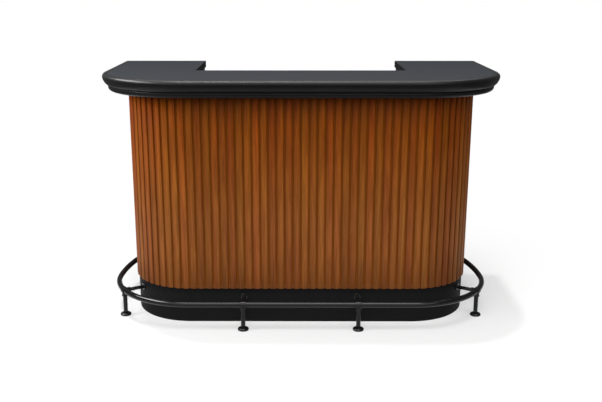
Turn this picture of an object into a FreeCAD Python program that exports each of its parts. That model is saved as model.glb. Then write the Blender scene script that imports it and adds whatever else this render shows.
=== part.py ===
import FreeCAD, Part
import math
import os

# Bar counter, U-shaped in plan, standing on a black plinth. Millimetres.
# +X is to the guest's right, -Y is the guest side, +Z is up.
# The origin lies on the floor under the middle of the worktop's outline.

Vector = FreeCAD.Vector
tolerance = 0.01

# ---- driving dimensions: worktop and body -----------------------------------

overall_width = 1726.0
overall_depth = 854.0
overall_height = 1067.0

nose_overhang = 109.0          # moulding nose past the slat faces
corner_radius = 272.0          # of the slat faces, in plan
wing_width = 399.0             # worktop over a wing, nose to well
front_depth = 408.0            # worktop along the front, nose to well
well_setback = 4.0             # cabinet faces stand back under the worktop edge
back_overhang = 20.0           # worktop past the wings' end panels

worktop_thickness = 30.0
subtop_thickness = 18.0
soffit_thickness = 25.0
soffit_overhang = 86.0         # past the slat faces
soffit_lower_radius = 16.0
soffit_upper_radius = 8.0

moulding_width = 25.0
moulding_land = 10.0           # flat strip on top before the nose rounds over
nose_radius = 15.0
moulding_foot = 3.0            # width of the moulding's underside
nose_lower_bulge = 18.5        # width of the moulding at its lower curve's middle point
nose_lower_drop = 0.62         # share of the lower curve's height above that point

board = 18.0                   # carcass and plinth board thickness
plinth_height = 155.0
kick_setback = 40.0            # toe space on the bartender's side
panel_gap = 0.1                # fitting gap where a panel end meets a curved panel

# ---- driving dimensions: slats ----------------------------------------------

slat_pitch = 34.5
slat_width = 27.0
slat_thickness = 8.0
slat_edge_thickness = 5.0

# ---- driving dimensions: shelves --------------------------------------------

shelf_levels = 2
shelf_thickness = 18.0
shelf_side_gap = 1.0
shelf_setback = 12.0
pin_radius = 2.5
pin_depth = 7.0
pin_reach = 8.0
pin_fit = 0.05
pin_inset = 45.0               # from a shelf's edge to its pins
wing_pin_inset = 130.0         # on the curved side of a wing shelf

# ---- driving dimensions: foot rail ------------------------------------------

rail_offset = 84.0             # rail centre line past the slat faces
rail_height = 116.0            # rail centre line over the floor
rail_radius = 12.5
rail_wall = 1.5
rail_return_radius = 880.0     # the side runs lean in towards the body
rail_end_bend_radius = 45.0
rail_end_straight = 8.0
rail_seat_gap = 0.3            # between the tube and the fittings round it

front_post_x = 247.0
corner_post_angle = 32.0       # degrees, from the side towards the front
post_radius = 9.5
post_fit = 0.1
strut_radius = 8.0
spigot_radius = 4.0
spigot_length = 10.0

clamp_length = 28.0            # along the rail, wider than the post's socket
clamp_wall = 3.0
socket_wall = 3.0
socket_depth = 10.0

foot_radius = 24.0
foot_rim_height = 5.0
foot_dome_height = 12.0
foot_dome_swell = 0.72         # share of the dome's height reached half way in
foot_base_taper = 1.0          # the foot's underside is this much smaller all round
foot_socket_depth = 6.0

rose_radius = 16.0             # round plates where the struts meet the plinth
rose_thickness = 4.0
end_rose_radius = 22.0         # round plates where the rail meets the plinth
end_rose_thickness = 5.0
rose_rounding = 0.45           # rim radius as a share of the plate's thickness

# ---- driving dimensions: screws ---------------------------------------------

screw_radius = 2.2
screw_fit = 0.05
screw_head_radius = 4.5
screw_head_height = 2.5
screw_bite = 15.0              # into the worktop
center_screw_spacing = 230.0
wing_screw_inset = 120.0       # from the wings' back ends

# ---- places that follow -----------------------------------------------------

face_half = overall_width / 2 - nose_overhang
face_front = -overall_depth / 2 + nose_overhang
axis_x = face_half - corner_radius
axis_y = face_front + corner_radius

shell_half = face_half - slat_thickness
shell_front = face_front + slat_thickness
shell_radius = corner_radius - slat_thickness
inner_radius = shell_radius - board
inner_front = shell_front + board
inner_half = shell_half - board

worktop_back = overall_depth / 2
cabinet_back = worktop_back - back_overhang
wing_end = cabinet_back - board
well_half = overall_width / 2 - wing_width
well_front = -overall_depth / 2 + front_depth
cabinet_well_half = well_half + well_setback
cabinet_well_front = well_front - well_setback
partition_outer = cabinet_well_half + board

worktop_bottom = overall_height - worktop_thickness
subtop_bottom = worktop_bottom - subtop_thickness
soffit_bottom = subtop_bottom - soffit_thickness
base_top = plinth_height + board
panel_height = subtop_bottom - base_top

joint_offset = nose_overhang - moulding_width   # worktop edge past the slat faces


# ---- small builders ---------------------------------------------------------

def box(x0, x1, y0, y1, z0, z1):
    """Return a box between two corners."""
    return Part.makeBox(x1 - x0, y1 - y0, z1 - z0, Vector(x0, y0, z0))


def rod(start, end, radius):
    """Return a round bar from one point to another."""
    return Part.makeCylinder(radius, (end - start).Length, start, end - start)


def mirrored(shape):
    """Return the shape's twin on the other side of the middle plane."""
    return shape.mirror(Vector(0, 0, 0), Vector(1, 0, 0))


def line(start, end):
    return Part.LineSegment(start, end).toShape()


def arc(start, middle, end):
    return Part.Arc(start, middle, end).toShape()


def prism(edges, direction):
    """Push the flat outline made of these edges along a direction."""
    return Part.Face(Part.Wire(edges)).extrude(direction)


def left_arc(radius, z, start_angle=0.0, end_angle=90.0):
    """Arc round the left corner's axis; 0 degrees is the side, 90 the front."""
    points = []
    for angle in (start_angle, (start_angle + end_angle) / 2, end_angle):
        points.append(left_corner_point(radius, angle, z))
    return arc(*points)


def left_corner_point(radius, angle, z):
    """Point at a radius from the left corner's axis."""
    turn = math.radians(angle)
    return Vector(-axis_x - radius * math.cos(turn), axis_y - radius * math.sin(turn), z)


def left_quarter(inner, outer, z0, z1):
    """Quarter ring round the left front corner."""
    edges = [left_arc(outer, z0),
             line(left_corner_point(outer, 90, z0), left_corner_point(inner, 90, z0)),
             left_arc(inner, z0),
             line(left_corner_point(inner, 0, z0), left_corner_point(outer, 0, z0))]
    return prism(edges, Vector(0, 0, z1 - z0))


def left_wing_board(radius, x_inner, y_back, z0, z1):
    """Board over a wing: straight sides and one round corner round the axis."""
    reach = math.sqrt(radius ** 2 - max(0.0, x_inner - axis_x) ** 2)
    start = Vector(-x_inner, axis_y - reach, z0)
    start_angle = 90.0
    if x_inner > axis_x:
        start_angle = math.degrees(math.acos((x_inner - axis_x) / radius))
    side = left_corner_point(radius, 0, z0)
    back_outer = Vector(side.x, y_back, z0)
    back_inner = Vector(-x_inner, y_back, z0)
    tangent = left_corner_point(radius, start_angle, z0)
    edges = [left_arc(radius, z0, 0, start_angle), line(side, back_outer),
             line(back_outer, back_inner), line(back_inner, start)]
    if (tangent - start).Length > tolerance:
        edges.append(line(start, tangent))
    return prism(Part.__sortEdges__(edges), Vector(0, 0, z1 - z0))


def u_board(offset, back, notch_half, notch_front, z0, z1):
    """U-shaped board: round front corners outside, square notch inside."""
    radius = corner_radius + offset
    left_side = left_corner_point(radius, 0, z0)
    left_front = left_corner_point(radius, 90, z0)
    right_arc = mirrored(left_arc(radius, z0))
    corners = [Vector(-left_side.x, back, z0),
               Vector(notch_half, back, z0),
               Vector(notch_half, notch_front, z0),
               Vector(-notch_half, notch_front, z0),
               Vector(-notch_half, back, z0),
               Vector(left_side.x, back, z0)]
    edges = [left_arc(radius, z0), right_arc,
             line(left_front, Vector(-left_front.x, left_front.y, z0)),
             line(Vector(-left_side.x, axis_y, z0), corners[0]),
             line(corners[-1], left_side)]
    for start, end in zip(corners, corners[1:]):
        edges.append(line(start, end))
    return prism(Part.__sortEdges__(edges), Vector(0, 0, z1 - z0))


def inside_front(x):
    """Y of the shell's inner face at a distance from the middle plane."""
    past = max(0.0, abs(x) - axis_x)
    return axis_y - math.sqrt(inner_radius ** 2 - past ** 2)


# ---- worktop ----------------------------------------------------------------

def moulding_section(place):
    """Nosing section; place turns an offset past the slat faces and a height into a point."""
    inner = joint_offset
    nose_start = inner + moulding_land
    nose_center = overall_height - nose_radius
    diagonal = nose_radius * math.sqrt(0.5)
    lower_height = nose_center - subtop_bottom
    top_inner = place(inner, overall_height)
    top_outer = place(nose_start, overall_height)
    nose_middle = place(nose_start + diagonal, nose_center + diagonal)
    nose = place(nose_overhang, nose_center)
    lower_middle = place(inner + nose_lower_bulge, nose_center - nose_lower_drop * lower_height)
    foot_outer = place(inner + moulding_foot, subtop_bottom)
    foot_inner = place(inner, subtop_bottom)
    return [line(top_inner, top_outer), arc(top_outer, nose_middle, nose),
            arc(nose, lower_middle, foot_outer), line(foot_outer, foot_inner),
            line(foot_inner, top_inner)]


def soffit_section(place):
    """Section of the board under the overhang, both of its outer edges rounded."""
    inner = -slat_thickness
    diagonal = math.sqrt(0.5)
    upper_x = soffit_overhang - soffit_upper_radius
    upper_z = subtop_bottom - soffit_upper_radius
    lower_x = soffit_overhang - soffit_lower_radius
    lower_z = soffit_bottom + soffit_lower_radius
    upper_reach = soffit_upper_radius * diagonal
    lower_reach = soffit_lower_radius * diagonal
    top_inner = place(inner, subtop_bottom)
    top_outer = place(upper_x, subtop_bottom)
    edge_top = place(soffit_overhang, upper_z)
    edge_bottom = place(soffit_overhang, lower_z)
    bottom_outer = place(lower_x, soffit_bottom)
    bottom_inner = place(inner, soffit_bottom)
    return [line(top_inner, top_outer),
            arc(top_outer, place(upper_x + upper_reach, upper_z + upper_reach), edge_top),
            line(edge_top, edge_bottom),
            arc(edge_bottom, place(lower_x + lower_reach, lower_z - lower_reach), bottom_outer),
            line(bottom_outer, bottom_inner), line(bottom_inner, top_inner)]


def front_run(section):
    """Straight run of a section along the front, between the corners."""
    edges = section(lambda offset, z: Vector(-axis_x, face_front - offset, z))
    return prism(edges, Vector(2 * axis_x, 0, 0))


def left_side_run(section, back):
    """Straight run of a section along the left side."""
    edges = section(lambda offset, z: Vector(-face_half - offset, axis_y, z))
    return prism(edges, Vector(0, back - axis_y, 0))


def left_corner_run(section):
    """Quarter turn of a section round the left front corner."""
    edges = section(lambda offset, z: Vector(-face_half - offset, axis_y, z))
    face = Part.Face(Part.Wire(edges))
    return face.revolve(Vector(-axis_x, axis_y, 0), Vector(0, 0, 1), 90)


def soffit():
    """One board under the whole overhang, round three sides of the body."""
    corner = left_corner_run(soffit_section)
    side = left_side_run(soffit_section, cabinet_back)
    pieces = [corner, side, mirrored(corner), mirrored(side)]
    return front_run(soffit_section).fuse(pieces).removeSplitter()


def screw_places():
    """Where the worktop is screwed down, seen from above."""
    middle = (inner_front + cabinet_well_front) / 2
    places = []
    for step in (-1.5, -0.5, 0.5, 1.5):
        places.append(Vector(step * center_screw_spacing, middle, 0))
    wing_x = (inner_half + partition_outer) / 2
    for y in (wing_end - wing_screw_inset, cabinet_well_front):
        places.append(Vector(-wing_x, y, 0))
        places.append(Vector(wing_x, y, 0))
    return places


def screw(place):
    """Round-headed wood screw, driven up through the sub-top into the worktop."""
    seat = Vector(place.x, place.y, subtop_bottom)
    tip = seat + Vector(0, 0, subtop_thickness + screw_bite)
    head = rod(seat - Vector(0, 0, screw_head_height), seat, screw_head_radius)
    return head.fuse(rod(seat, tip, screw_radius)).removeSplitter()


def drilled_for_screws(shape):
    """Cut the screws' pilot holes."""
    for place in screw_places():
        start = Vector(place.x, place.y, subtop_bottom)
        end = start + Vector(0, 0, subtop_thickness + screw_bite + screw_fit)
        shape = shape.cut(rod(start, end, screw_radius + screw_fit))
    return shape


# ---- slats ------------------------------------------------------------------

def slat(base, outward, along):
    """Slat standing on the shell at base, flat behind and gently crowned in front."""
    half = slat_width / 2
    bottom = Vector(base.x, base.y, plinth_height)
    back_left = bottom - along * half
    back_right = bottom + along * half
    edge_left = back_left + outward * slat_edge_thickness
    edge_right = back_right + outward * slat_edge_thickness
    crown = bottom + outward * slat_thickness
    edges = [line(back_left, back_right), line(back_right, edge_right),
             arc(edge_right, crown, edge_left), line(edge_left, back_left)]
    return prism(edges, Vector(0, 0, soffit_bottom - plinth_height))


def row_middles(length):
    """Distances to the middles of the slats that fill a length evenly."""
    count = max(1, round(length / slat_pitch))
    return [(index + 0.5) * length / count for index in range(count)]


def front_slats():
    slats = []
    for distance in row_middles(axis_x):
        for x in (-distance, distance):
            slats.append(slat(Vector(x, shell_front, 0), Vector(0, -1, 0), Vector(1, 0, 0)))
    return slats


def left_corner_slats():
    slats = []
    for distance in row_middles(corner_radius * math.pi / 2):
        angle = math.degrees(distance / corner_radius)
        base = left_corner_point(shell_radius, angle, 0)
        outward = (base - Vector(-axis_x, axis_y, 0)).normalize()
        slats.append(slat(base, outward, Vector(-outward.y, outward.x, 0)))
    return slats


def left_side_slats():
    slats = []
    for distance in row_middles(cabinet_back - axis_y):
        base = Vector(-shell_half, axis_y + distance, 0)
        slats.append(slat(base, Vector(-1, 0, 0), Vector(0, 1, 0)))
    return slats


# ---- shelves and their pins -------------------------------------------------

def shelf_bottoms():
    """Heights of the shelves' undersides, spaced evenly up a bay."""
    clear = (panel_height - shelf_levels * shelf_thickness) / (shelf_levels + 1)
    return [base_top + (level + 1) * clear + level * shelf_thickness
            for level in range(shelf_levels)]


shelf_front = inside_front(cabinet_well_half) + shelf_side_gap
center_shelf_back = cabinet_well_front - shelf_setback
wing_shelf_inner = partition_outer + shelf_side_gap
divider_half = board / 2


def left_center_shelf(z):
    """Shelf of the left bay that faces the well."""
    return box(-cabinet_well_half + shelf_side_gap, -divider_half - shelf_side_gap,
               shelf_front, center_shelf_back, z, z + shelf_thickness)


def left_wing_shelf(z):
    """Shelf of the left wing, following the shell's round corner."""
    return left_wing_board(inner_radius - shelf_side_gap, wing_shelf_inner,
                           wing_end - shelf_side_gap, z, z + shelf_thickness)


def left_pins():
    """Every pin of the left half as a pair: its seat on a panel face, its way out."""
    wing_outer_x = -inner_half + pin_inset
    wing_inner_x = -wing_shelf_inner - pin_inset
    pins = []
    for bottom in shelf_bottoms():
        z = bottom - pin_radius
        for y in (shelf_front + pin_inset, center_shelf_back - pin_inset):
            pins.append((Vector(-cabinet_well_half, y, z), Vector(1, 0, 0)))
            pins.append((Vector(-divider_half, y, z), Vector(-1, 0, 0)))
        for x in (wing_outer_x, wing_inner_x):
            pins.append((Vector(x, wing_end, z), Vector(0, -1, 0)))
        partition_y = inside_front(partition_outer) + wing_pin_inset
        pins.append((Vector(-partition_outer, partition_y, z), Vector(-1, 0, 0)))
        pins.append((Vector(-inner_half, axis_y + pin_inset, z), Vector(1, 0, 0)))
    return pins


def pin(seat, outward):
    return rod(seat - outward * pin_depth, seat + outward * pin_reach, pin_radius)


def drilled_for_pins(shape):
    """Cut the shelf pins' blind holes in the left half."""
    for seat, outward in left_pins():
        bottom = seat - outward * (pin_depth + pin_fit)
        shape = shape.cut(rod(bottom, seat, pin_radius + pin_fit))
    return shape


# ---- foot rail --------------------------------------------------------------

rail_run_radius = corner_radius + rail_offset
rail_half = face_half + rail_offset
rail_front = face_front - rail_offset


def rail_end_y():
    """Y of the rail's ends, where the side runs have bent in to meet the plinth."""
    turn = rail_lean()
    run = rail_return_radius - rail_end_bend_radius
    return axis_y + run * math.sin(turn) + rail_end_bend_radius


def rail_lean():
    """Angle through which a side run leans in before its end bend."""
    reach = shell_half + rail_end_straight - rail_half + rail_return_radius
    return math.acos(reach / (rail_return_radius - rail_end_bend_radius))


def left_rail_path():
    """Centre line from the middle of the front round to the left end."""
    z = rail_height
    lean = rail_lean()
    return_x = -rail_half + rail_return_radius
    bend_x = return_x - (rail_return_radius - rail_end_bend_radius) * math.cos(lean)
    bend_y = rail_end_y() - rail_end_bend_radius

    def on_return(angle):
        return Vector(return_x - rail_return_radius * math.cos(angle),
                      axis_y + rail_return_radius * math.sin(angle), z)

    def on_bend(angle):
        return Vector(bend_x - rail_end_bend_radius * math.cos(angle),
                      bend_y + rail_end_bend_radius * math.sin(angle), z)

    end = Vector(-shell_half, rail_end_y(), z)
    front_left = left_corner_point(rail_run_radius, 90, z)
    return [line(Vector(0, rail_front, z), front_left),
            left_arc(rail_run_radius, z),
            arc(on_return(0), on_return(lean / 2), on_return(lean)),
            arc(on_bend(lean), on_bend((lean + math.pi / 2) / 2), on_bend(math.pi / 2)),
            line(on_bend(math.pi / 2), end)]


def left_half_rod(radius):
    """Solid bar along the left half of the rail's centre line."""
    path = Part.Wire(Part.__sortEdges__(left_rail_path()))
    ring = Part.Wire(Part.Circle(Vector(0, rail_front, rail_height), Vector(1, 0, 0), radius).toShape())
    return path.makePipeShell([ring], True, False)


def foot_rail():
    """Bent tube round the guest side, open at its two ends."""
    half = left_half_rod(rail_radius).cut(left_half_rod(rail_radius - rail_wall))
    return half.fuse(mirrored(half)).removeSplitter()


class Station:
    """One post of the rail: where it stands and which way the body lies."""

    def __init__(self, x, y, inward, seat_distance):
        self.floor = Vector(x, y, 0)
        self.center = Vector(x, y, rail_height)
        self.inward = inward
        self.along = Vector(-inward.y, inward.x, 0)
        self.seat = self.center + inward * seat_distance


def stations():
    """The four posts, from the left corner to the right corner."""
    seat_distance = rail_run_radius - shell_radius
    corner = left_corner_point(rail_run_radius, corner_post_angle, 0)
    inward = (Vector(-axis_x, axis_y, 0) - corner).normalize()
    return [Station(corner.x, corner.y, inward, seat_distance),
            Station(-front_post_x, rail_front, Vector(0, 1, 0), seat_distance),
            Station(front_post_x, rail_front, Vector(0, 1, 0), seat_distance),
            Station(-corner.x, corner.y, Vector(-inward.x, inward.y, 0), seat_distance)]


clamp_bore = rail_radius + rail_seat_gap
clamp_radius = clamp_bore + clamp_wall
post_socket_radius = post_radius + post_fit + socket_wall
strut_socket_radius = strut_radius + post_fit + socket_wall
post_top = rail_height - clamp_radius
strut_start = clamp_radius


def clamp(station):
    """Fitting round the rail, with a socket for the post and one for the strut."""
    center = station.center
    half = station.along * (clamp_length / 2)
    post_mouth = Vector(center.x, center.y, post_top - socket_depth)
    strut_mouth = center + station.inward * (strut_start + socket_depth)
    body = rod(center - half, center + half, clamp_radius)
    body = body.fuse([rod(post_mouth, center, post_socket_radius),
                      rod(center, strut_mouth, strut_socket_radius)]).removeSplitter()
    post_seat = Vector(center.x, center.y, post_top)
    strut_seat = center + station.inward * strut_start
    body = body.cut(rod(post_mouth, post_seat, post_radius + post_fit))
    body = body.cut(rod(strut_seat, strut_mouth, strut_radius + post_fit))
    return body.cut(rod(center - half, center + half, clamp_bore))


def post(station):
    """Upright bar from the foot's socket to the clamp's socket."""
    bottom = station.floor + Vector(0, 0, foot_dome_height - foot_socket_depth)
    return rod(bottom, Vector(bottom.x, bottom.y, post_top), post_radius)


def strut(station):
    """Level bar from the clamp to the plinth, with a spigot let into the plinth."""
    start = station.center + station.inward * strut_start
    end = station.seat
    spigot = rod(end, end + station.inward * spigot_length, spigot_radius)
    return rod(start, end, strut_radius).fuse(spigot).removeSplitter()


def foot(station):
    """Domed foot with a socket for the post."""
    def at(radius, z):
        return station.floor + Vector(radius, 0, z)

    hub = post_socket_radius
    middle_radius = (hub + foot_radius) / 2
    middle_height = foot_rim_height + foot_dome_swell * (foot_dome_height - foot_rim_height)
    base_radius = foot_radius - foot_base_taper
    edges = [line(at(0, 0), at(base_radius, 0)),
             line(at(base_radius, 0), at(foot_radius, foot_rim_height / 2)),
             line(at(foot_radius, foot_rim_height / 2), at(foot_radius, foot_rim_height)),
             arc(at(foot_radius, foot_rim_height), at(middle_radius, middle_height),
                 at(hub, foot_dome_height)),
             line(at(hub, foot_dome_height), at(0, foot_dome_height)),
             line(at(0, foot_dome_height), at(0, 0))]
    dome = Part.Face(Part.Wire(edges)).revolve(station.floor, Vector(0, 0, 1), 360)
    seat = station.floor + Vector(0, 0, foot_dome_height - foot_socket_depth)
    mouth = station.floor + Vector(0, 0, foot_dome_height)
    return dome.cut(rod(seat, mouth, post_radius + post_fit))


def rose(seat, outward, radius, thickness, bore):
    """Round plate with a rounded rim, lying on the plinth round a bar."""
    plate = rod(seat, seat + outward * thickness, radius)
    rim = [edge for edge in plate.Edges
           if abs((edge.BoundBox.Center - seat).dot(outward) - thickness) < tolerance]
    plate = plate.makeFillet(thickness * rose_rounding, rim)
    return plate.cut(rod(seat, seat + outward * thickness, bore))


def roses():
    """Plates at the four struts and at the rail's two ends."""
    plates = []
    for station in stations():
        plates.append(rose(station.seat, station.inward * -1, rose_radius,
                           rose_thickness, strut_radius + post_fit))
    left = rose(Vector(-shell_half, rail_end_y(), rail_height), Vector(-1, 0, 0),
                end_rose_radius, end_rose_thickness, rail_radius + post_fit)
    return plates + [left, mirrored(left)]


def drilled_for_spigots(shape):
    """Cut the spigots' holes in a plinth board."""
    for station in stations():
        end = station.seat + station.inward * (spigot_length + post_fit)
        shape = shape.cut(rod(station.seat, end, spigot_radius + post_fit))
    return shape


# ---- assembly ---------------------------------------------------------------

def save(name, shape):
    """Write one node; a list becomes a group of separate solids."""
    if isinstance(shape, list):
        shape = Part.makeCompound(shape)
    shape.exportStep("parts/%s.step" % name)


def save_pair(name, left_shape):
    """Write a left piece and its right-hand twin."""
    if isinstance(left_shape, list):
        right_shape = [mirrored(piece) for piece in left_shape]
    else:
        right_shape = mirrored(left_shape)
    save("left_" + name, left_shape)
    save("right_" + name, right_shape)


def build_top():
    save("countertop", drilled_for_screws(
        u_board(joint_offset, worktop_back, well_half, well_front, worktop_bottom, overall_height)))
    save("center_subtop", drilled_for_screws(
        box(-cabinet_well_half, cabinet_well_half, face_front - joint_offset, cabinet_well_front,
            subtop_bottom, worktop_bottom)))
    save_pair("subtop", drilled_for_screws(
        left_wing_board(corner_radius + joint_offset, cabinet_well_half, cabinet_back,
                        subtop_bottom, worktop_bottom)))
    save("front_moulding", front_run(moulding_section))
    save_pair("corner_moulding", left_corner_run(moulding_section))
    save_pair("side_moulding", left_side_run(moulding_section, worktop_back))
    save("soffit", soffit())
    save("worktop_screws", [screw(place) for place in screw_places()])


def build_shell():
    z0 = base_top
    z1 = subtop_bottom
    save("front_panel", box(-axis_x, axis_x, shell_front, inner_front, z0, z1))
    save_pair("corner_panel", left_quarter(inner_radius, shell_radius, z0, z1))
    save_pair("side_panel", drilled_for_pins(
        box(-shell_half, -inner_half, axis_y, wing_end, z0, z1)))
    save_pair("end_panel", drilled_for_pins(
        box(-shell_half, -cabinet_well_half, wing_end, cabinet_back, z0, z1)))
    save("front_slats", front_slats())
    save_pair("corner_slats", left_corner_slats())
    save_pair("side_slats", left_side_slats())


def build_inside():
    z0 = base_top
    z1 = subtop_bottom
    save_pair("partition", drilled_for_pins(
        box(-partition_outer, -cabinet_well_half, inside_front(partition_outer) + panel_gap,
            cabinet_well_front, z0, z1)))
    divider = drilled_for_pins(
        box(-divider_half, divider_half, inner_front, cabinet_well_front, z0, z1))
    save("center_divider", mirrored(drilled_for_pins(mirrored(divider))))
    save("center_base", box(-cabinet_well_half, cabinet_well_half, shell_front,
                            cabinet_well_front, plinth_height, base_top))
    save_pair("base", left_wing_board(shell_radius, cabinet_well_half, cabinet_back,
                                      plinth_height, base_top))
    for level, z in enumerate(shelf_bottoms(), 1):
        save_pair("center_shelf_%d" % level, left_center_shelf(z))
        save_pair("wing_shelf_%d" % level, left_wing_shelf(z))
    pins = [pin(seat, outward) for seat, outward in left_pins()]
    save("shelf_pins", pins + [mirrored(piece) for piece in pins])


def build_plinth():
    kick_x = cabinet_well_half + kick_setback
    kick_y = cabinet_well_front - kick_setback
    top = plinth_height
    save("front_plinth", drilled_for_spigots(box(-axis_x, axis_x, shell_front, inner_front, 0, top)))
    save_pair("corner_plinth", drilled_for_spigots(left_quarter(inner_radius, shell_radius, 0, top)))
    save_pair("side_plinth", box(-shell_half, -inner_half, axis_y, wing_end, 0, top))
    save_pair("end_plinth", box(-shell_half, -kick_x, wing_end, cabinet_back, 0, top))
    save_pair("side_kick", box(-kick_x - board, -kick_x, kick_y - board, wing_end, 0, top))
    save("center_kick", box(-kick_x, kick_x, kick_y - board, kick_y, 0, top))


def build_rail():
    names = ("left_corner", "left_front", "right_front", "right_corner")
    save("foot_rail", foot_rail())
    for name, station in zip(names, stations()):
        save(name + "_post", post(station))
    save("post_feet", [foot(station) for station in stations()])
    save("rail_clamps", [clamp(station) for station in stations()])
    save("rail_struts", [strut(station) for station in stations()])
    save("wall_roses", roses())


os.makedirs("parts", exist_ok=True)
build_top()
build_shell()
build_inside()
build_plinth()
build_rail()
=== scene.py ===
import math

import bpy
import numpy as np
from bpy.props import FloatProperty, FloatVectorProperty, IntProperty, PointerProperty
from mathutils import Matrix, Vector


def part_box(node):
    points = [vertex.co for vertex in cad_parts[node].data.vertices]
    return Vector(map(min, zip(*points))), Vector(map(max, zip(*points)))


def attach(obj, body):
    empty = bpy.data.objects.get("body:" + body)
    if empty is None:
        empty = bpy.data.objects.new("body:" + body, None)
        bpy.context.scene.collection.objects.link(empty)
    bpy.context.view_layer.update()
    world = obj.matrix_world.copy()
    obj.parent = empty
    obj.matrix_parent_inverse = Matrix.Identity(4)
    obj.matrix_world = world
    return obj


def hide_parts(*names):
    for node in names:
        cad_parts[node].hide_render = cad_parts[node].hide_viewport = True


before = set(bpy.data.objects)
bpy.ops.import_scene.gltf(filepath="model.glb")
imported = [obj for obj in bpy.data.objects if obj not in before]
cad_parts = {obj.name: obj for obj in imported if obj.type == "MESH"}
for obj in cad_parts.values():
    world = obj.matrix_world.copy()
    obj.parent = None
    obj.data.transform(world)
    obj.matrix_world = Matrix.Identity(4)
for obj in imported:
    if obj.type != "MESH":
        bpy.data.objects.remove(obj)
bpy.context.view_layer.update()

bl_info = {
    "name": "Slatted Bar Counter",
    "version": (1, 0, 0),
    "blender": (4, 5, 0),
    "location": "3D View > Sidebar > Bar Counter",
    "description": "Dresses a U-shaped bar counter with slats, worktop, plinth, shelves and foot rail",
    "category": "Object",
}

BODY = "root"

# ---- places read from the frame ---------------------------------------------

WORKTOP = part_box("countertop")
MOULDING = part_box("front_moulding")
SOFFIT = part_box("soffit")
FRONT_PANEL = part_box("front_panel")
CORNER_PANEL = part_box("left_corner_panel")
SIDE_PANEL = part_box("left_side_panel")
END_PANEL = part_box("left_end_panel")
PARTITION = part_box("left_partition")
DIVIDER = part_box("center_divider")
CENTER_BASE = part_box("center_base")
FRONT_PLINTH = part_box("front_plinth")
END_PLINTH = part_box("left_end_plinth")
CENTER_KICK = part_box("center_kick")
SIDE_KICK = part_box("left_side_kick")
FRONT_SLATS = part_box("front_slats")
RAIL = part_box("foot_rail")
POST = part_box("left_front_post")
CORNER_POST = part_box("left_corner_post")
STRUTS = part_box("rail_struts")
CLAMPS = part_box("rail_clamps")
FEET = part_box("post_feet")
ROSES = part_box("wall_roses")

AXIS_X = FRONT_PANEL[1].x                  # the corners turn round (+-AXIS_X, AXIS_Y)
AXIS_Y = CORNER_PANEL[1].y
SHELL_RADIUS = -CORNER_PANEL[0].x - AXIS_X
BOARD = SIDE_PANEL[1].x - SIDE_PANEL[0].x
INNER_RADIUS = SHELL_RADIUS - BOARD
SLAT_THICKNESS = FRONT_PANEL[0].y - FRONT_SLATS[0].y
FACE_RADIUS = SHELL_RADIUS + SLAT_THICKNESS
WELL_OVERHANG = 0.004                      # worktop past the cabinet faces round the well
WELL_HALF = -PARTITION[1].x                # cabinet faces on either side of the well
WELL_FRONT = PARTITION[1].y
CABINET_BACK = END_PANEL[1].y
WING_END = END_PANEL[0].y
WORKTOP_BACK = WORKTOP[1].y
NOTCH_HALF = WELL_HALF - WELL_OVERHANG     # worktop edge on either side of the well
NOTCH_FRONT = WELL_FRONT + WELL_OVERHANG
RAIL_RADIUS = (RAIL[1].z - RAIL[0].z) / 2
RAIL_HEIGHT = (RAIL[1].z + RAIL[0].z) / 2
RAIL_RUN = AXIS_Y - RAIL[0].y - RAIL_RADIUS  # rail centre line, from the corners' axes
POST_RADIUS = (POST[1].x - POST[0].x) / 2
CORNER_POST_X = (CORNER_POST[0].x + CORNER_POST[1].x) / -2
STRUT_RADIUS = (STRUTS[1].z - STRUTS[0].z) / 2
FOOT_RADIUS = (FEET[1].x - FEET[0].x) / 2 - CORNER_POST_X
FOOT_TOP = FEET[1].z
END_ROSE_RADIUS = (ROSES[1].z - ROSES[0].z) / 2
END_ROSE_THICKNESS = ROSES[1].x + SIDE_PANEL[0].x

# ---- fine sizes -------------------------------------------------------------

SOCKET_WALL = 0.0031
SOCKET_BEAD = 0.0016                       # round collar at the post socket's mouth
COLLAR_HEIGHT = 2.5 * SOCKET_BEAD
STRUT_SOCKET_DEPTH = 0.010                 # past the clamp's sleeve
CLAMP_LENGTH = 0.028                       # along the rail
ROSE_RADIUS = 0.016                        # round plates at the struts
ROSE_THICKNESS = 0.004
ROSE_ROUNDING = 0.45                       # of a round plate's rim, as a share of its thickness
FOOT_RIM_HEIGHT = 0.0045
FOOT_RIM_SWELL = 0.0018
FOOT_LIP = 0.0006

SLAB_EASE = 0.0006                         # how far sharp edges are rounded
MOULDING_EASE = 0.0003
SOFFIT_EASE = 0.0008
SLAT_EASE = 0.0008
PANEL_EASE = 0.0004
PLINTH_EASE = 0.0005
ROD_EASE = 0.0006
STRUT_EASE = 0.0004
SLEEVE_EASE = 0.0012
SOCKET_EASE = 0.0008
UPRIGHT_EDGE_SHARE = 1.25                  # a board's upright edges, beside its level ones
GENTLE_TURN = math.radians(20)             # corners that turn less stay as they are

SLAT_CROWN = 2.7                           # superellipse exponent of a slat's front
NOSE_UNDERCUT = 1.25                       # over 1: flatter than a quarter circle
GRAIN_OFFSET = (0.31, 1.7)                 # from one slat's grain to the next, in metres
SLAT_DRAWS = 200                           # random tones drawn, more than there are slats
FOOT_SHADE_HEIGHT = 0.16                          # height over which shade is painted at the slats' feet
SHADE_RED_BAND = (0.55, 0.98)                    # heights between which the slats are painted redder, the colour of the overhang's shade
SHADE_RICH_BAND = (0.45, 0.85)                   # heights between which their colour is painted richer, for the same shade
SCUFF_HEIGHT = 0.08                        # scuffs and dust on the plinth fade out by here

UP = np.array([0.0, 0.0, 1.0])
ACROSS = np.array([1.0, 0.0, 0.0])
UPRIGHT_FROM = 0.9                         # upward part of a direction that counts as upright
SHELL_SLACK = BOARD / 9                    # outside faces have their centres this near the shell
SAME_POINT = 1e-6                          # points closer than this are one


# ---- settings ---------------------------------------------------------------

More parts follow.
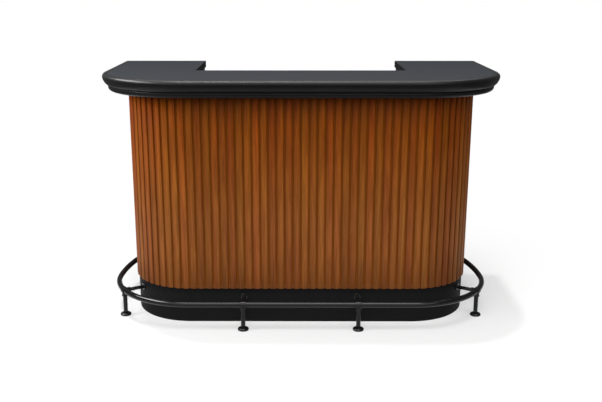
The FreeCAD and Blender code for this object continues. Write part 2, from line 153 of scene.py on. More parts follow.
def length_setting(name, description, default, low=0.0):
    """A length in metres."""
    return FloatProperty(name=name, description=description, default=default, min=low, unit="LENGTH")


def angle_setting(name, description, default):
    """An angle in radians."""
    return FloatProperty(name=name, description=description, default=default, unit="ROTATION")


def color_setting(name, description, *default):
    """A colour of three linear channels."""
    return FloatVectorProperty(name=name, description=description, default=default, subtype="COLOR",
                               min=0, max=1)


def light_setting(name, description, default, subtype="NONE"):
    """How strong a light is; panels give it in watts."""
    return FloatProperty(name=name, description=description, default=default, min=0, subtype=subtype)


class CounterSizes(bpy.types.PropertyGroup):
    slat_pitch: length_setting("Slat pitch", "From the middle of one slat to the next", 0.0345, 0.01)
    slat_width: length_setting("Slat width", "Across one slat", 0.0265, 0.005)
    slat_shoulder: length_setting(
        "Slat shoulder", "Height of a slat's straight edge before its front rounds over", 0.0035, 0.0005)
    joint_gap: length_setting(
        "Joint gap", "Fine groove between the worktop and its rounded edge", 0.0003)
    nose_radius: length_setting("Nose radius", "Upper round of the worktop's edge", 0.015, 0.002)
    moulding_foot: length_setting("Edge foot", "Width of the rounded edge's underside", 0.003, 0.001)
    soffit_upper_radius: length_setting(
        "Soffit upper radius", "Round of the soffit under the worktop's edge", 0.008, 0.001)
    soffit_lower_radius: length_setting(
        "Soffit lower radius", "Round of the soffit's lower edge", 0.016, 0.001)
    board_ease: length_setting(
        "Board edge radius", "How far the boards' edges are rounded", 0.0012, 0.0002)
    return_radius: length_setting("Rail return radius", "Bend of the foot rail's side runs", 0.88, 0.1)
    end_bend_radius: length_setting(
        "Rail end bend", "Bend of the foot rail where it turns in to the plinth", 0.045, 0.02)
    end_straight: length_setting(
        "Rail end length", "Straight length of the foot rail at the plinth", 0.008, 0.001)
    corner_post_angle: angle_setting(
        "Corner post angle", "Place of the corner posts, from the side towards the front",
        math.radians(32))
    seed: IntProperty(name="Wood seed", description="Chooses the tone of each slat", default=11, min=0)


class CounterFinishes(bpy.types.PropertyGroup):
    laminate: color_setting("Worktop", "Charcoal laminate of the worktop", 0.0124, 0.0146, 0.0186)
    lacquer: color_setting("Black lacquer", "Rounded edge, soffit and sub-top", 0.0055, 0.0055, 0.006)
    plinth: color_setting("Plinth black", "Plinth and toe boards", 0.0050, 0.0050, 0.0051)
    slat_light: color_setting(
        "Slat, light grain", "Lighter wood between the grain lines", 0.285, 0.082, 0.0096)
    slat_dark: color_setting(
        "Slat, dark grain", "Darker wood along the grain lines", 0.136, 0.0345, 0.0036)
    # The backing's colours are darkened past its own colour: painted shade for the grooves between the
    # slats.
    ground_light: color_setting(
        "Backing, light grain", "Stained panel behind the slats", 0.200, 0.052, 0.0036)
    ground_dark: color_setting(
        "Backing, dark grain", "Grain lines of the stained panel", 0.136, 0.033, 0.0022)
    board_light: color_setting(
        "Carcass, light grain", "Shelves, partitions and panels", 0.19, 0.072, 0.022)
    board_dark: color_setting(
        "Carcass, dark grain", "Grain lines of the carcass boards", 0.085, 0.028, 0.008)
    enamel: color_setting("Rail enamel", "Foot rail, posts and feet", 0.0045, 0.0045, 0.005)
    steel: color_setting("Steel", "Shelf pins and screws", 0.52, 0.52, 0.53)
    floor: color_setting("Floor", "Studio floor", 0.28, 0.28, 0.28)


class CounterStudio(bpy.types.PropertyGroup):
    lens: FloatProperty(name="Lens", description="Focal length on a 36 mm sensor", default=50.02,
                        min=10, subtype="DISTANCE_CAMERA")
    camera_place: FloatVectorProperty(
        name="Camera", description="Camera position", subtype="TRANSLATION", unit="LENGTH",
        default=(-0.0247, -3.7332, 1.4567))
    pitch: angle_setting("Camera pitch", "Downward tilt", 0.2652)
    yaw: angle_setting("Camera yaw", "Turn to the right", -0.0035)
    shift: FloatVectorProperty(name="Camera shift", description="Frame shift, sideways and up",
                               size=2, default=(0.0145, 0.0081))
    floor_reach: length_setting("Floor reach", "How far the floor runs each way", 150, 1)
    floor_front: length_setting(
        "Bright floor", "How far in front the floor still shines back at the counter", 1.15, 0.5)
    floor_side: length_setting(
        "Glossy floor, sides", "How far to each side the floor shows in gloss", 1.7, 1)
    floor_back: length_setting(
        "Glossy floor, back", "How far behind the floor shows in gloss", 3.0, 1)
    floor_glow: light_setting("Floor glow", "Light that comes up through the floor", 0.44)
    key_strength: light_setting("Key light", "Wide soft light in front", 2.95)
    key_azimuth: angle_setting("Key azimuth", "To the guest's right of the front", math.radians(-4))
    key_elevation: angle_setting("Key elevation", "Height of the key light", math.radians(46))
    key_spread: angle_setting("Key spread", "Angle that the key light fills", math.radians(80))
    top_strength: light_setting(
        "Top light", "Small sharp light, nearly overhead, that throws the shadow on the floor", 1.8)
    top_azimuth: angle_setting(
        "Top azimuth", "Round from the front to the guest's right", math.radians(-132))
    top_elevation: angle_setting("Top elevation", "Height of the top light", math.radians(79.3))
    top_spread: angle_setting("Top spread", "Angle that the top light fills", math.radians(3.5))
    overhead_strength: light_setting(
        "Overhead light", "Soft light high in front, in line with the key light", 2.3)
    overhead_elevation: angle_setting(
        "Overhead elevation", "Height of the overhead light", math.radians(80))
    overhead_spread: angle_setting(
        "Overhead spread", "Angle that the overhead light fills", math.radians(32))
    glint_strength: light_setting("Glint", "Narrow light seen only in gloss", 0.35)
    glint_elevation: angle_setting(
        "Glint elevation", "Height, past upright to the back", math.radians(108))
    glint_spread: angle_setting("Glint spread", "Angle that the glint fills", math.radians(12))
    side_power: light_setting("Side light", "Soft panel beside the left end", 62, "POWER")
    rear_power: light_setting(
        "Rear light", "Long panel behind the counter, seen only in gloss", 75, "POWER")
    corner_power: light_setting(
        "Corner light", "Panel beside the left corner, seen only in gloss", 215, "POWER")
    fill_strength: light_setting("Room light", "Even white light all round", 0.14)


def sizes():
    return bpy.context.scene.counter_sizes


def finishes():
    return bpy.context.scene.counter_finishes


def studio():
    return bpy.context.scene.counter_studio


# ---- node trees -------------------------------------------------------------

MIX_FIRST = 6                              # a Mix node's colour sockets, past its plain ones
MIX_SECOND = 7
MIX_RESULT = 2


class Look:
    """A material under construction: a Principled shader and the nodes that feed it."""

    def __init__(self, name):
        self.material = bpy.data.materials.new(name)
        self.material.use_nodes = True
        self.tree = self.material.node_tree
        self.tree.nodes.clear()
        self.shader = self.node("ShaderNodeBsdfPrincipled")
        output = self.node("ShaderNodeOutputMaterial")
        self.join(self.shader.outputs["BSDF"], output.inputs["Surface"])

    def node(self, kind, **settings):
        made = self.tree.nodes.new(kind)
        for name, value in settings.items():
            setattr(made, name, value)
        return made

    def join(self, source, target):
        self.tree.links.new(source, target)

    def feed(self, target, value):
        """Link a socket, or set a constant on it."""
        if isinstance(value, bpy.types.NodeSocket):
            self.join(value, target)
        else:
            target.default_value = value

    def place(self, scale=(1, 1, 1), source="Object"):
        """Object or UV coordinates, stretched."""
        coordinates = self.node("ShaderNodeTexCoord")
        mapping = self.node("ShaderNodeMapping")
        mapping.inputs["Scale"].default_value = scale
        self.join(coordinates.outputs[source], mapping.inputs["Vector"])
        return mapping.outputs["Vector"]

    def height(self):
        """Height above the floor."""
        made = self.node("ShaderNodeSeparateXYZ")
        self.join(self.place(), made.inputs["Vector"])
        return made.outputs["Z"]

    def noise(self, vector, scale, detail=3.0, roughness=0.5, distortion=0.0):
        made = self.node("ShaderNodeTexNoise")
        self.join(vector, made.inputs["Vector"])
        made.inputs["Scale"].default_value = scale
        made.inputs["Detail"].default_value = detail
        made.inputs["Roughness"].default_value = roughness
        made.inputs["Distortion"].default_value = distortion
        return made.outputs["Fac"]

    def stretch(self, value, low=0.3, high=0.7, new_low=0.0, new_high=1.0):
        """Map low..high onto new_low..new_high, held at the ends."""
        made = self.node("ShaderNodeMapRange")
        self.feed(made.inputs["Value"], value)
        made.inputs["From Min"].default_value = low
        made.inputs["From Max"].default_value = high
        made.inputs["To Min"].default_value = new_low
        made.inputs["To Max"].default_value = new_high
        return made.outputs["Result"]

    def math(self, operation, first, second):
        made = self.node("ShaderNodeMath", operation=operation)
        self.feed(made.inputs[0], first)
        self.feed(made.inputs[1], second)
        return made.outputs["Value"]

    def weighted(self, *terms):
        """Sum of value times weight over (value, weight) terms."""
        shares = [self.math("MULTIPLY", value, weight) for value, weight in terms]
        total = shares[0]
        for share in shares[1:]:
            total = self.math("ADD", total, share)
        return total

    def mix(self, factor, first, second):
        """Colour between two."""
        made = self.node("ShaderNodeMix", data_type="RGBA")
        self.feed(made.inputs["Factor"], factor)
        self.feed(made.inputs[MIX_FIRST], first)
        self.feed(made.inputs[MIX_SECOND], second)
        return made.outputs[MIX_RESULT]

    def attribute(self, name):
        return self.node("ShaderNodeAttribute", attribute_name=name).outputs["Fac"]

    def bump(self, height, distance, strength):
        made = self.node("ShaderNodeBump")
        self.join(height, made.inputs["Height"])
        made.inputs["Distance"].default_value = distance
        made.inputs["Strength"].default_value = strength
        return made.outputs["Normal"]

    def shaded(self, color, roughness, normal=None, **constants):
        """Feed the shader and return the material."""
        self.feed(self.shader.inputs["Base Color"], color)
        self.feed(self.shader.inputs["Roughness"], roughness)
        if normal is not None:
            self.join(normal, self.shader.inputs["Normal"])
        for name, value in constants.items():
            self.shader.inputs[name.replace("_", " ")].default_value = value
        return self.material


def opaque(color):
    return (*color, 1.0)


def shade(color, factor):
    """The colour made lighter or darker, opaque."""
    return opaque([channel * factor for channel in color])


# ---- finishes ---------------------------------------------------------------

def laminate_finish():
    """Charcoal worktop laminate: a fine speckle and a pebbled satin surface.

    Faces marked "stained" have the black edge band, which is rougher.
    """
    look = Look("charcoal_laminate")
    base = finishes().laminate
    speckle = look.noise(look.place(), 1400, detail=2, roughness=0.6)
    cloud = look.noise(look.place(), 5, detail=4, roughness=0.55)
    color = look.mix(look.stretch(speckle, 0.32, 0.68), shade(base, 0.72), shade(base, 1.35))
    color = look.mix(look.stretch(cloud, 0.35, 0.7, 0.0, 0.3), color, opaque(base))
    color = look.mix(look.attribute("stained_or_shaded"), color, shade(finishes().lacquer, 0.5))
    pebble = look.noise(look.place(), 900, detail=1)
    roughness = look.math("ADD", look.stretch(cloud, new_low=0.50, new_high=0.54),
                          look.math("MULTIPLY", look.attribute("stained_or_shaded"), 0.45))
    return look.shaded(color, roughness, look.bump(pebble, 0.00012, 0.35), Specular_IOR_Level=0.075)


def lacquer_finish():
    """Sprayed satin black: slight orange peel and a faint cloud of sheen."""
    look = Look("black_lacquer")
    base = finishes().lacquer
    cloud = look.noise(look.place(), 6, detail=4)
    color = look.mix(look.stretch(cloud), opaque(base), shade(base, 1.4))
    peel = look.noise(look.place(), 260, detail=1)
    dust = look.noise(look.place(), 30, detail=6, roughness=0.65)
    roughness = look.stretch(dust, new_low=0.33, new_high=0.39)
    return look.shaded(color, roughness, look.bump(peel, 0.00003, 0.1), Specular_IOR_Level=0.14)


def plinth_finish():
    """Black board at floor level: satin, with scuffs and dust that thicken towards the floor."""
    look = Look("black_plinth")
    base = finishes().plinth
    low = look.stretch(look.height(), 0.0, SCUFF_HEIGHT, 1.0, 0.0)
    scuff = look.noise(look.place((1, 1, 7)), 34, detail=6, roughness=0.7)
    scuffed = look.math("MULTIPLY", look.stretch(scuff, 0.5, 0.75), low)
    color = look.mix(scuffed, opaque(base), shade(base, 1.9))
    grain = look.noise(look.place(), 420, detail=2)
    roughness = look.math("ADD", look.stretch(scuff, new_low=0.55, new_high=0.63),
                          look.math("MULTIPLY", scuffed, 0.15))
    return look.shaded(color, roughness, look.bump(grain, 0.0001, 0.3), Specular_IOR_Level=0.06)


def slat_finish():
    """Varnished slats: long grain, dark pores, drifting red and olive, a tone for each slat.

    Shade is painted along each slat's left edge and towards its foot, and the top is painted redder and
    richer, the colour of the overhang's shade.
    """
    look = Look("slat_wood")
    dark = finishes().slat_dark
    along = look.place((1, 0.035, 1), "UV")
    figure = look.noise(along, 130, distortion=0.6)
    streak = look.noise(along, 620, detail=5, roughness=0.62)
    pores = look.noise(look.place((1, 0.06, 1), "UV"), 1500, detail=2)
    drift = look.noise(look.place((1, 0.02, 1), "UV"), 60, detail=2)
    cloud = look.noise(look.place((1, 0.12, 1), "UV"), 45)
    grain = look.weighted((look.stretch(figure, 0.36, 0.64), 0.5), (look.stretch(streak), 0.2),
                          (look.stretch(cloud), 0.3))
    color = look.mix(grain, opaque(dark), opaque(finishes().slat_light))
    pore = look.stretch(pores, 0.3, 0.42, 1.0, 0.0)
    color = look.mix(look.math("MULTIPLY", pore, 0.35), color, shade(dark, 0.4))
    # painted shade: each slat darker along its left edge
    painted_left_edge_shade = look.stretch(look.attribute("slat_across"), -1.0, 0.1, 0.42, 0.0)
    color = look.mix(painted_left_edge_shade, color, shade(dark, 0.5))
    height = look.height()
    foot = FRONT_SLATS[0].z
    # painted shade: darker towards the slats' feet
    painted_foot_shade = look.stretch(height, foot, foot + FOOT_SHADE_HEIGHT, 0.32, 0.0)
    color = look.mix(painted_foot_shade, color, shade(dark, 0.25))
    hue = look.weighted((look.attribute("slat_hue"), 0.45), (look.stretch(drift), 0.55))
    # painted shade colour: the hue turns redder towards the top
    hue = look.math("ADD", look.stretch(hue, 0.0, 1.0, 0.4915, 0.511),
                    look.stretch(height, *SHADE_RED_BAND, 0.0, -0.010))
    tint = look.node("ShaderNodeHueSaturation")
    look.join(hue, tint.inputs["Hue"])
    look.join(look.stretch(look.attribute("slat_tone"), 0.0, 1.0, 0.87, 1.13), tint.inputs["Value"])
    # painted shade colour: richer towards the top
    look.join(look.stretch(height, *SHADE_RICH_BAND, 0.97, 1.03), tint.inputs["Saturation"])
    look.join(color, tint.inputs["Color"])
    roughness = look.stretch(streak, new_low=0.58, new_high=0.5)
    relief = look.weighted((streak, 0.6), (pore, -0.5))
    return look.shaded(tint.outputs["Color"], roughness, look.bump(relief, 0.00018, 0.5),
                       Specular_IOR_Level=0.09)


def board_finish(name, stretch_by, light=None, dark=None, specular=0.25):
    """Veneered carcass board; stretch_by is small along the grain's direction.

    Faces that are marked take the backing's colours: its own dark colour, darkened further as painted
    shade for the grooves between the slats.
    """
    look = Look(name)
    values = finishes()
    vector = look.place(stretch_by)
    figure = look.noise(vector, 42, distortion=0.9)
    streak = look.noise(vector, 320, detail=5, roughness=0.6)
    grain = look.weighted((look.stretch(figure), 0.6), (look.stretch(streak), 0.4))
    color = look.mix(grain, opaque(dark or values.board_dark), opaque(light or values.board_light))
    # the backing's colours, painted groove shade included
    stained_or_shaded = look.mix(grain, opaque(values.ground_dark), opaque(values.ground_light))
    color = look.mix(look.attribute("stained_or_shaded"), color, stained_or_shaded)
    roughness = look.stretch(streak, new_low=0.52, new_high=0.42)
    return look.shaded(color, roughness, look.bump(streak, 0.00012, 0.35), Specular_IOR_Level=specular)


def enamel_finish():
    """Black enamelled steel: smooth and glossy, with a little dust."""
    look = Look("rail_enamel")
    base = finishes().enamel
    peel = look.noise(look.place(), 340, detail=1)
    dust = look.noise(look.place(), 60, detail=5, roughness=0.7)
    color = look.mix(look.stretch(dust, 0.45, 0.75, 0.0, 0.6), opaque(base), shade(base, 1.8))
    roughness = look.stretch(dust, new_low=0.085, new_high=0.125)
    return look.shaded(color, roughness, look.bump(peel, 0.00003, 0.2), Specular_IOR_Level=0.2)


def steel_finish():
    """Plain steel of pins and screws."""
    look = Look("fixing_steel")
    scratch = look.noise(look.place((1, 1, 8)), 900, detail=4)
    steel = finishes().steel
    color = look.mix(look.stretch(scratch), shade(steel, 0.8), opaque(steel))
    return look.shaded(color, look.stretch(scratch, new_low=0.25, new_high=0.42), Metallic=1.0)


def floor_finish():
    """Pale studio floor, lit evenly from below, so that shadows on it stay light."""
    look = Look("studio_floor")
    cloud = look.noise(look.place(), 0.7)
    base = finishes().floor
    color = look.mix(look.stretch(cloud), shade(base, 0.985), opaque(base))
    return look.shaded(color, 0.65, Specular_IOR_Level=0.1, Emission_Color=opaque((1.0, 1.0, 1.0)),
                       Emission_Strength=studio().floor_glow)


MADE = {}                                  # materials so far, by maker and details


def made_once(maker, *details):
    """The material that a maker gives for these details, made once."""
    key = (maker.__name__, *details)
    if key not in MADE:
        MADE[key] = maker(*details)
    return MADE[key]


GRAIN_X = (0.03, 1, 1)                     # stretches a board's pattern along its grain
GRAIN_Y = (1, 0.03, 1)
GRAIN_Z = (1, 1, 0.03)


def board_along(stretch_by):
    names = {GRAIN_X: "board_grain_x", GRAIN_Y: "board_grain_y", GRAIN_Z: "board_grain_z"}
    return made_once(board_finish, names[stretch_by], stretch_by)


# ---- surfaces ---------------------------------------------------------------

def unit(vectors):
    """Vectors divided by their own lengths."""
    return vectors / np.linalg.norm(vectors, axis=-1, keepdims=True)


def turned_left(vectors):
    """Flat vectors (x, y) turned a quarter turn to the left: (-y, x)."""
    return np.stack([-vectors[..., 1], vectors[..., 0]], -1)


def inward(ring):
    """Mitre at each corner of a closed counter-clockwise ring.

    With n0 and n1 the inward normals of the edges before and after the corner, the mitre is
    (n0 + n1) / (1 + n0.n1), so moving each corner by d mitres moves every edge inward by d.
    """
    after = turned_left(unit(np.roll(ring, -1, 0) - ring))
    before = np.roll(after, 1, 0)
    return (before + after) / (1 + (before * after).sum(1, keepdims=True))


def softened(ring, radius, steps=4):
    """Ring with each sharp corner replaced by an arc.

    A corner that turns by t is cut back by radius * tan(|t| / 2) on both edges, and the arc
    between follows centre + radius * (cos, sin) through that turn. Gentle corners stay.
    """
    before = unit(ring - np.roll(ring, 1, 0))
    after = unit(np.roll(ring, -1, 0) - ring)
    cross = before[:, 0] * after[:, 1] - before[:, 1] * after[:, 0]
    turn = np.arctan2(cross, (before * after).sum(1))
    sharp = np.abs(turn) > GENTLE_TURN
    share = np.linspace(0, 1, steps + 1)
    start = ring - before * (radius * np.tan(np.abs(turn) / 2))[:, None]
    heading = np.arctan2(before[:, 1], before[:, 0])
    side = np.sign(turn)
    centre = start + turned_left(before) * (radius * side)[:, None]
    angle = heading[:, None] + turn[:, None] * share - side[:, None] * math.pi / 2
    arcs = centre[:, None] + radius * np.stack([np.cos(angle), np.sin(angle)], -1)
    arcs = np.where(sharp[:, None, None], arcs, ring[:, None])
    keep = sharp[:, None] | (share == 0)
    return arcs[keep]


def eased_levels(low, high, ease, steps=3):
    """(inset, height) stations from bottom face to top face of a board.

    The edges follow a quarter circle: inset = ease (1 - sin a), height = ease (1 - cos a).
    """
    angle = np.linspace(0, math.pi / 2, steps + 1)
    inset = ease * (1 - np.sin(angle))
    rise = ease * (1 - np.cos(angle))
    lower = np.stack([inset, low + rise], 1)
    upper = np.stack([inset, high - rise], 1)[::-1]
    return np.vstack([lower, upper])


def skin(grid):
    """(points, faces) of a closed tube: the grid's rows are its rings, and flat faces close its ends."""
    rows, columns = grid.shape[:2]
    row, column = np.meshgrid(np.arange(rows - 1), np.arange(columns), indexing="ij")
    following = (column + 1) % columns
    corners = [row * columns + column, row * columns + following,
               (row + 1) * columns + following, (row + 1) * columns + column]
    faces = np.stack(corners, -1).reshape(-1, 4).tolist()
    faces.append(list(range(columns))[::-1])
    faces.append(list(range((rows - 1) * columns, rows * columns)))
    return grid.reshape(-1, 3), faces


def joined(parts):
    """One list of points and faces from several."""
    points = []
    faces = []
    start = 0
    for part_points, part_faces in parts:
        points.append(part_points)
        faces.extend([[index + start for index in face] for face in part_faces])
        start += len(part_points)
    return np.vstack(points), faces


def signed_volume(points, faces):
    """Six times the volume inside the faces; negative where they point inwards."""
    total = 0.0
    for face in faces:
        corner = points[face]
        fan = np.cross(corner[1:-1], corner[2:])
        total += (fan @ corner[0]).sum()
    return total


def counter_clockwise(ring):
    """The ring, turned round if its area (half the sum of x0 y1 - x1 y0) is negative."""
    ring = np.asarray(ring, float)
    following = np.roll(ring, -1, 0)
    area = (ring[:, 0] * following[:, 1] - following[:, 0] * ring[:, 1]).sum()
    return ring if area > 0 else ring[::-1]


def plank(ring, low, high, ease=None):
    """Upright prism over a flat ring, its upright and level edges all slightly rounded."""
    ease = ease or sizes().board_ease
    ring = softened(counter_clockwise(ring), ease * UPRIGHT_EDGE_SHARE)
    levels = eased_levels(low, high, ease)
    flat = ring[None] + inward(ring)[None] * levels[:, 0, None, None]
    height = np.broadcast_to(levels[:, 1, None, None], (*flat.shape[:2], 1))
    return skin(np.concatenate([flat, height], -1))


def rectangle(x0, x1, y0, y1):
    return np.array([(x0, y0), (x1, y0), (x1, y1), (x0, y1)], float)


def box_ring(box):
    """Plan of a CAD node's box."""
    return rectangle(box[0].x, box[1].x, box[0].y, box[1].y)


def left_turn(radius, steps=24, end=90.0):
    """Arc round the left corner's axis: (-AXIS_X - r cos a, AXIS_Y - r sin a), a from 0 in degrees."""
    angle = np.radians(np.linspace(0.0, end, steps + 1))
    return np.stack([-AXIS_X - radius * np.cos(angle), AXIS_Y - radius * np.sin(angle)], 1)


def mirrored(points):
    """Flat points on the other side of the middle plane, in reverse order."""
    return np.asarray(points, float)[::-1] * [-1, 1]


def u_spine(back, steps=24):
    """The worktop's path: (spine point, outward direction) pairs from the left back round to the right.

    Every offset line of the U is spine + direction * radius, with the corners' axes as the spine's
    turning points: directions stay put on the straights and sweep 90 degrees at the axes.
    """
    angle = np.radians(np.linspace(0, 90, steps + 1))
    turning = np.stack([-np.cos(angle), -np.sin(angle)], 1)
    left_axis = np.broadcast_to([-AXIS_X, AXIS_Y], turning.shape)
    spine = np.vstack([[(-AXIS_X, back)], left_axis])
    direction = np.vstack([[(-1.0, 0.0)], turning])
    return np.vstack([spine, mirrored(spine)]), np.vstack([direction, mirrored(direction)])


def carried(profile, spine, direction, ease):
    """A section (radius, height) carried along the spine: point = spine + direction * radius.

    The section shrinks by ease times its mitres over the first and last stretch of that length.
    """
    profile = counter_clockwise(profile)
    along = unit(spine[1] - spine[0])
    back_along = unit(spine[-1] - spine[-2])
    spine = np.vstack([spine[:1], spine[:1] + along * ease, spine[1:-1],
                       spine[-1:] - back_along * ease, spine[-1:]])
    direction = np.vstack([direction[:1], direction, direction[-1:]])
    insets = np.zeros(len(spine))
    insets[[0, -1]] = ease
    section = profile[None] + inward(profile)[None] * insets[:, None, None]
    flat = spine[:, None] + direction[:, None] * section[..., :1]
    return skin(np.concatenate([flat, section[..., 1:]], -1))


def turned(profile, start, axis, segments=32):
    """Surface of revolution: a profile of (along, radius) round a line from start.

    point = start + axis * along + radius * (cos a * p + sin a * q), with p and q square to the axis.
    """
    axis = unit(np.asarray(axis, float))
    helper = UP if abs(axis[2]) < UPRIGHT_FROM else ACROSS
    p = unit(np.cross(axis, helper))
    q = np.cross(axis, p)
    angle = np.linspace(0, 2 * math.pi, segments, endpoint=False)
    ring = np.cos(angle)[:, None] * p + np.sin(angle)[:, None] * q
    profile = np.asarray(profile, float)
    grid = (np.asarray(start, float) + profile[:, 0, None, None] * axis
            + profile[:, 1, None, None] * ring[None])
    return skin(grid)


def eased_rod(length, radius, ease=ROD_EASE):
    """Profile of a round bar with rounded rims, for turned()."""
    levels = eased_levels(0.0, length, ease)
    return np.stack([levels[:, 1], radius - levels[:, 0]], 1)


def tube(path, radius, segments=40):
    """Round tube along a level path: point = path + radius (cos a * side + sin a * up).

    side is square to the path's direction, which is the mean of the steps before and after.
    """
    step = unit(np.diff(path, axis=0))
    direction = unit(np.vstack([step[:1], step[:-1] + step[1:], step[-1:]]))
    side = np.stack([-direction[:, 1], direction[:, 0], np.zeros(len(path))], 1)
    angle = np.linspace(0, 2 * math.pi, segments, endpoint=False)
    return skin(path[:, None] + radius * (np.cos(angle)[None, :, None] * side[:, None]
                                          + np.sin(angle)[None, :, None] * UP))


# ---- pieces -----------------------------------------------------------------

def piece(name, surface, material, replaces, crisp=False, sharp=40.0):
    """Make a mesh piece in the frame, riding on the counter's body.

    crisp keeps flat faces flat beside rounded edges; sharp is in degrees.
    """
    points, faces = surface
    if signed_volume(points, faces) < 0:
        faces = [face[::-1] for face in faces]
    mesh = bpy.data.meshes.new(name)
    mesh.from_pydata(points.tolist(), [], faces)
    mesh.materials.append(material)
    mesh.shade_smooth()
    mesh.set_sharp_from_angle(angle=math.radians(sharp))
    mesh.update()
    made = bpy.data.objects.new(name, mesh)
    bpy.context.scene.collection.objects.link(made)
    if crisp:
        weighted = made.modifiers.new("flat faces stay flat", "WEIGHTED_NORMAL")
        weighted.keep_sharp = True
    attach(made, BODY)
    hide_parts(*replaces)
    return made


def board(node, ring, low, high, material, slot="carcass_board", ease=None):
    """Board with crisp faces that stands for a node."""
    return piece(node + "_board", plank(ring, low, high, ease), material, [node], crisp=True)


def without_doubles(ring):
    """Ring without points that repeat the one before."""
    gap = np.linalg.norm(ring - np.roll(ring, 1, 0), axis=1)
    return ring[gap > SAME_POINT]


def both_sides(name, ring, *details, **choices):
    """A left board and its mirror image; returns the two."""
    ring = without_doubles(ring)
    return [board("left_" + name, ring, *details, **choices),
            board("right_" + name, mirrored(ring), *details, **choices)]


def keep(node, material):
    """Give a CAD node that stays a finish."""
    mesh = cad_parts[node].data
    mesh.materials.clear()
    mesh.materials.append(material)


def outside_shell(centers):
    """True for face centres on the cabinet's round outside: (|x| - AXIS_X, AXIS_Y - y) is that long."""
    across = np.maximum(np.abs(centers[:, 0]) - AXIS_X, 0)
    along = np.maximum(AXIS_Y - centers[:, 1], 0)
    return np.hypot(across, along) > SHELL_RADIUS - SHELL_SLACK


def everywhere(centers):
    """True for every face centre."""
    return np.ones(len(centers), bool)


def mark_stained_or_shaded(made, chosen):
    """Mark the upright faces whose centres are chosen; level ones have upright normals."""
    mesh = made.data
    centers = np.array([face.center for face in mesh.polygons])
    upright = np.array([abs(face.normal.z) < UPRIGHT_FROM for face in mesh.polygons])
    marks = mesh.attributes.new("stained_or_shaded", "FLOAT", "FACE")
    marks.data.foreach_set("value", (chosen(centers) & upright).astype(np.float32))


# worktop ---------------------------------------------------------------------

def worktop_ring():
    """Plan of the worktop board: the U outside, the square well inside."""
    spine, direction = u_spine(WORKTOP_BACK)
    outer = spine + direction * (AXIS_Y - MOULDING[1].y)
    notch = [(NOTCH_HALF, WORKTOP_BACK), (NOTCH_HALF, NOTCH_FRONT),
             (-NOTCH_HALF, NOTCH_FRONT), (-NOTCH_HALF, WORKTOP_BACK)]
    return np.vstack([outer, notch])


def rounded(center, width, height, start, end, power=1.0, steps=10):
    """Arc of a superellipse: center + (width |cos a|^p, height |sin a|^p), signs kept, a in degrees."""
    angle = np.radians(np.linspace(start, end, steps + 1))
    cos = np.cos(angle)
    sin = np.sin(angle)
    across = width * np.sign(cos) * np.abs(cos) ** power
    up = height * np.sign(sin) * np.abs(sin) ** power
    return np.stack([center[0] + across, center[1] + up], 1)


def moulding_profile():
    """Section of the rounded edge: a level land, a round nose, then an undercut down to the foot.

    The nose is a quarter circle; the undercut is a quarter superellipse flatter than a circle.
    """
    values = sizes()
    inner = AXIS_Y - MOULDING[1].y + values.joint_gap
    nose = AXIS_Y - MOULDING[0].y
    low = MOULDING[0].z
    high = MOULDING[1].z
    radius = values.nose_radius
    foot = inner + values.moulding_foot
    over = rounded((nose - radius, high - radius), radius, radius, 90, 0)
    under = rounded((foot, high - radius), nose - foot, high - radius - low, 0, -90,
                    NOSE_UNDERCUT, steps=14)
    joint = [(inner, low), (inner, high - values.joint_gap), (inner + values.joint_gap, high)]
    return np.vstack([joint, over, under[1:]])


def soffit_profile():
    """Section of the board under the overhang: quarter circles round both outer edges."""
    outer = AXIS_Y - SOFFIT[0].y
    low = SOFFIT[0].z
    high = SOFFIT[1].z
    upper = sizes().soffit_upper_radius
    lower = sizes().soffit_lower_radius
    top = rounded((outer - upper, high - upper), upper, upper, 90, 0, steps=8)
    bottom = rounded((outer - lower, low + lower), lower, lower, 0, -90)
    return np.vstack([[(SHELL_RADIUS, low), (SHELL_RADIUS, high)], top, bottom])


class COUNTER_OT_worktop(bpy.types.Operator):
    """Worktop board, its rounded edge moulding, the sub-top and the soffit under the overhang"""
    bl_idname = "counter.worktop"
    bl_label = "Worktop"

    def execute(self, context):
        lacquer = made_once(lacquer_finish)
        slab = piece("worktop", plank(worktop_ring(), WORKTOP[0].z, WORKTOP[1].z, SLAB_EASE),
                     made_once(laminate_finish), ["countertop"], crisp=True)
        mark_stained_or_shaded(slab, everywhere)
        edge = carried(moulding_profile(), *u_spine(WORKTOP_BACK), MOULDING_EASE)
        piece("rounded_edge", edge, lacquer,
              ["left_side_moulding", "left_corner_moulding", "front_moulding",
               "right_corner_moulding", "right_side_moulding"], sharp=50)
        under = carried(soffit_profile(), *u_spine(SOFFIT[1].y), SOFFIT_EASE)
        piece("overhang_soffit", under, lacquer, ["soffit"], sharp=50)
        for node in ("center_subtop", "left_subtop", "right_subtop"):
            keep(node, lacquer)
        return {"FINISHED"}


# slats -----------------------------------------------------------------------

def slat_section(steps=10):
    """Round the slat, as (across, out): straight edges, then a crowned front.

    Over the shoulder the front is a superellipse: across = a |cos t|^(2/n), out = b |sin t|^(2/n).
    """
    half = sizes().slat_width / 2
    shoulder = sizes().slat_shoulder
    power = 2 / SLAT_CROWN
    angle = np.linspace(0, math.pi, 2 * steps + 1)
    across = half * np.sign(np.cos(angle)) * np.abs(np.cos(angle)) ** power
    out = shoulder + (SLAT_THICKNESS - shoulder) * np.sin(angle) ** power
    return np.vstack([[(-half, 0.0), (half, 0.0)], np.stack([across, out], 1)])


def middles(length):
    """Distances to the middles of the slats that fill a length evenly."""
    count = max(1, round(length / sizes().slat_pitch))
    return (np.arange(count) + 0.5) * length / count


